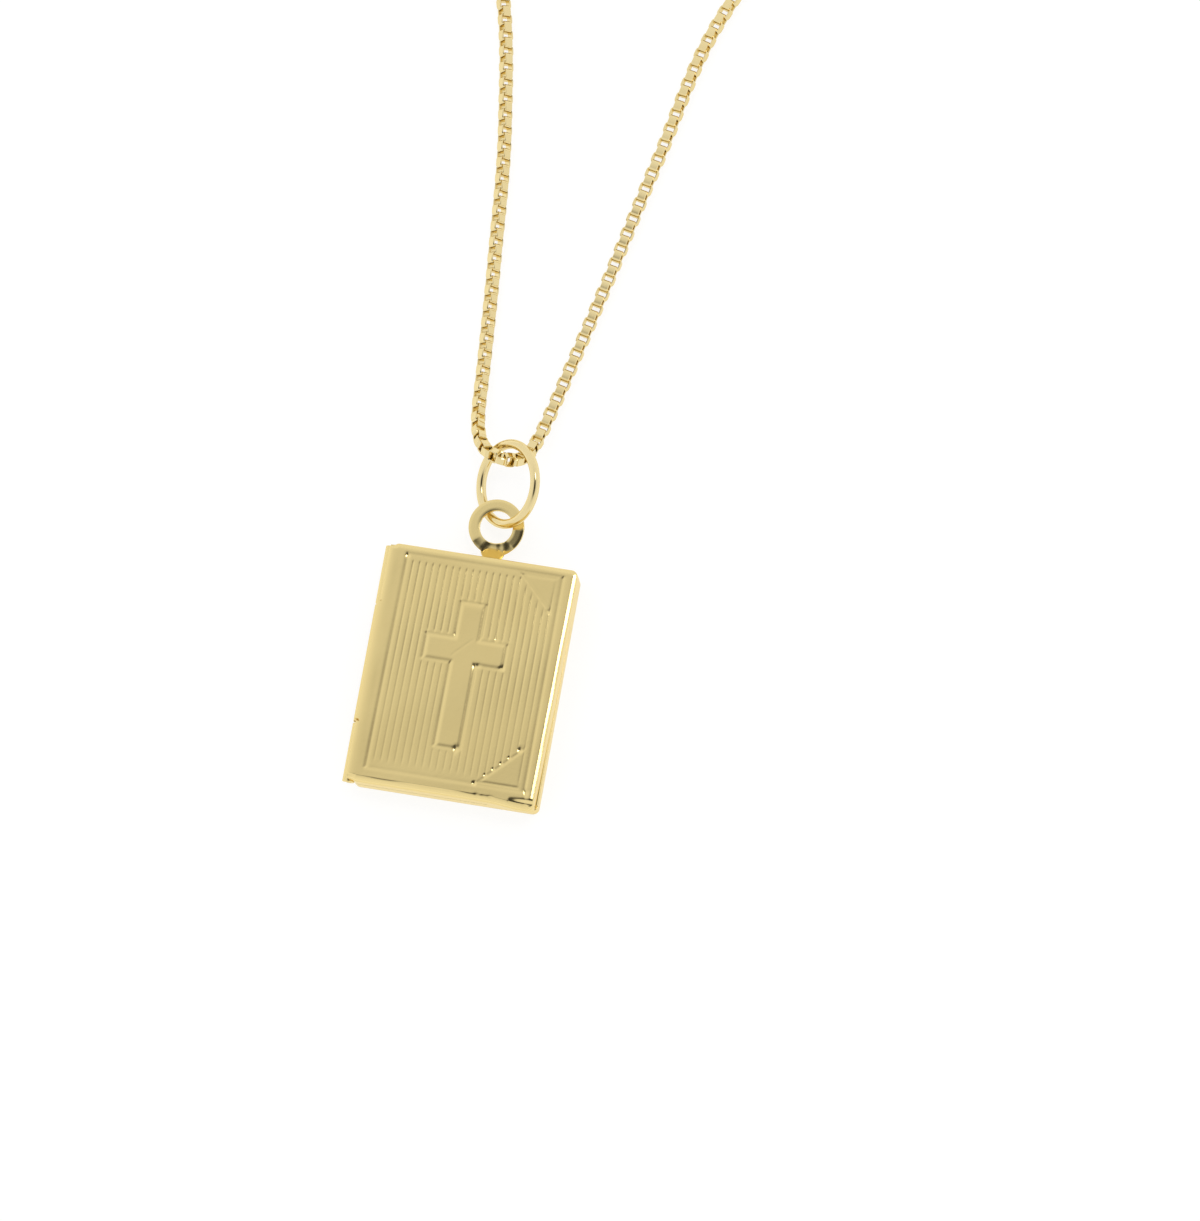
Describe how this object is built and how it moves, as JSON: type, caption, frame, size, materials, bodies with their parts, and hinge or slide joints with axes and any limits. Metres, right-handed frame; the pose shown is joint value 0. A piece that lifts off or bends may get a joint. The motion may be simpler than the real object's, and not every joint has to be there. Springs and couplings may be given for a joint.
{
  "type": "cross locket",
  "caption": "Rectangular book-shaped locket with a ribbed panel and a raised Latin cross, hinged along its left side, on a round jump ring and a long box chain, lying on a surface.",
  "frame": {"origin": "the surface that the locket lies on, 7.6 mm in from the covers' hinge side and below the middle of their length", "axes": "+X to the wearer's left, from the hinge to the opening side; +Y up the cross, towards the tab and the chain; +Z out of the front face, away from the surface"},
  "size_m": [0.1156, 0.207, 0.0052],
  "materials": {
    "locket_gold": "polished gold-filled brass",
    "chain_gold": "polished gold-filled brass"
  },
  "bodies": {
    "back": {"back_cover": "locket_gold", "hinge_pin": "locket_gold", "jump_ring": "chain_gold", "chain": "chain_gold", "clasp": "chain_gold"},
    "front": {"front_cover": "locket_gold"}
  },
  "joints": [
    {"name": "cover_hinge", "type": "hinge", "parent": "back", "child": "front", "pos_m": [-0.0079, 0, 0.0018], "axis": [0, -1, 0], "range_deg": [0, 170]}
  ]
}
